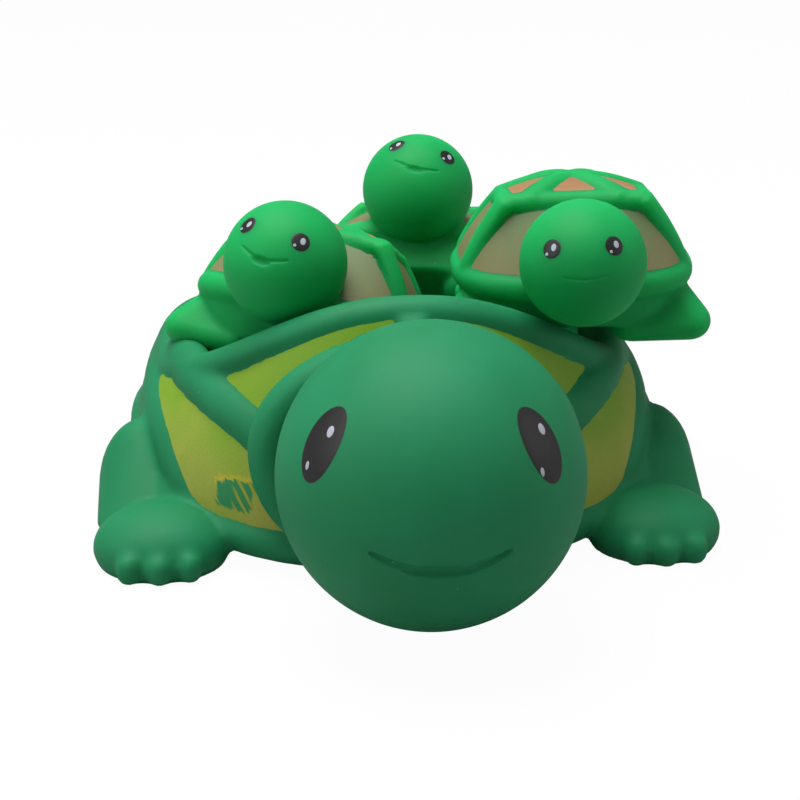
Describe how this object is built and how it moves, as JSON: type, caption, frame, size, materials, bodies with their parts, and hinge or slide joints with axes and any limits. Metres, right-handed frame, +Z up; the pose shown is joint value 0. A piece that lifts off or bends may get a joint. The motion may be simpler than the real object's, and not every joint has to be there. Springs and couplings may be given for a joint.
{
  "type": "floating turtle bath toy with riding young",
  "caption": "Squeaky floating bath toy: a soft vinyl mother turtle with a hollow back that carries her young, which lift off",
  "frame": {"origin": "on the ground under the middle of the mother's shell, on her flat belly", "axes": "+Z up, -Y the way the mother faces, +X to her left-hand side, which is the viewer's right"},
  "size_m": [0.13, 0.1802, 0.0753],
  "materials": {
    "mother_vinyl": "soft matte vinyl",
    "baby_vinyl": "soft matte vinyl",
    "lime_paint": "matte sprayed paint",
    "tan_paint": "matte sprayed paint",
    "eye_paint": "satin paint",
    "glint_paint": "satin paint",
    "cup_plastic": "moulded plastic",
    "block_plastic": "moulded plastic",
    "reed_steel": "thin rolled strip"
  },
  "bodies": {
    "mother": {"mother_skin": "mother_vinyl", "mother_panel_paint": "lime_paint", "mother_eye_paint": "eye_paint", "mother_eye_glints": "glint_paint", "mother_squeaker_cup": "cup_plastic", "mother_reed_block": "block_plastic"},
    "mother_reed": {"mother_reed": "reed_steel"},
    "left_baby": {"left_baby_skin": "baby_vinyl", "left_baby_panel_paint": "tan_paint", "left_baby_eye_paint": "eye_paint", "left_baby_eye_glints": "glint_paint", "left_baby_squeaker_cup": "cup_plastic", "left_baby_reed_block": "block_plastic"},
    "left_baby_reed": {"left_baby_reed": "reed_steel"},
    "right_baby": {"right_baby_skin": "baby_vinyl", "right_baby_panel_paint": "tan_paint", "right_baby_eye_paint": "eye_paint", "right_baby_eye_glints": "glint_paint", "right_baby_squeaker_cup": "cup_plastic", "right_baby_reed_block": "block_plastic"},
    "right_baby_reed": {"right_baby_reed": "reed_steel"},
    "rear_baby": {"rear_baby_skin": "baby_vinyl", "rear_baby_panel_paint": "tan_paint", "rear_baby_eye_paint": "eye_paint", "rear_baby_eye_glints": "glint_paint", "rear_baby_squeaker_cup": "cup_plastic", "rear_baby_reed_block": "block_plastic"},
    "rear_baby_reed": {"rear_baby_reed": "reed_steel"}
  },
  "joints": [
    {"name": "mother_reed_flutter", "type": "hinge", "parent": "mother", "child": "mother_reed", "pos_m": [0, 0.0195, 0.0041], "axis": [1, 0, 0], "range_deg": [0, 3], "stiffness_Nm_per_rad": 0.000002},
    {"name": "left_baby_lift_off", "type": "slide", "parent": "mother", "child": "left_baby", "axis": [-0.2873, 0, 0.9578], "range_m": [0, 0.1]},
    {"name": "left_baby_reed_flutter", "type": "hinge", "parent": "left_baby", "child": "left_baby_reed", "pos_m": [-0.0187, -0.00841, 0.03309], "axis": [0.895, -0.4281, -0.1249], "range_deg": [0, 3], "stiffness_Nm_per_rad": 0.000001},
    {"name": "right_baby_lift_off", "type": "slide", "parent": "mother", "child": "right_baby", "axis": [0.2873, 0, 0.9578], "range_m": [0, 0.1]},
    {"name": "right_baby_reed_flutter", "type": "hinge", "parent": "right_baby", "child": "right_baby_reed", "pos_m": [0.03689, -0.01406, 0.04545], "axis": [0.997, -0.0734, 0.0244], "range_deg": [0, 3], "stiffness_Nm_per_rad": 0.000001},
    {"name": "rear_baby_lift_off", "type": "slide", "parent": "mother", "child": "rear_baby", "axis": [0, 0.2873, 0.9578], "range_m": [0, 0.1]},
    {"name": "rear_baby_reed_flutter", "type": "hinge", "parent": "rear_baby", "child": "rear_baby_reed", "pos_m": [0.00797, 0.02622, 0.02866], "axis": [0.982, -0.1886, -0.0086], "range_deg": [0, 3], "stiffness_Nm_per_rad": 0.000001}
  ]
}
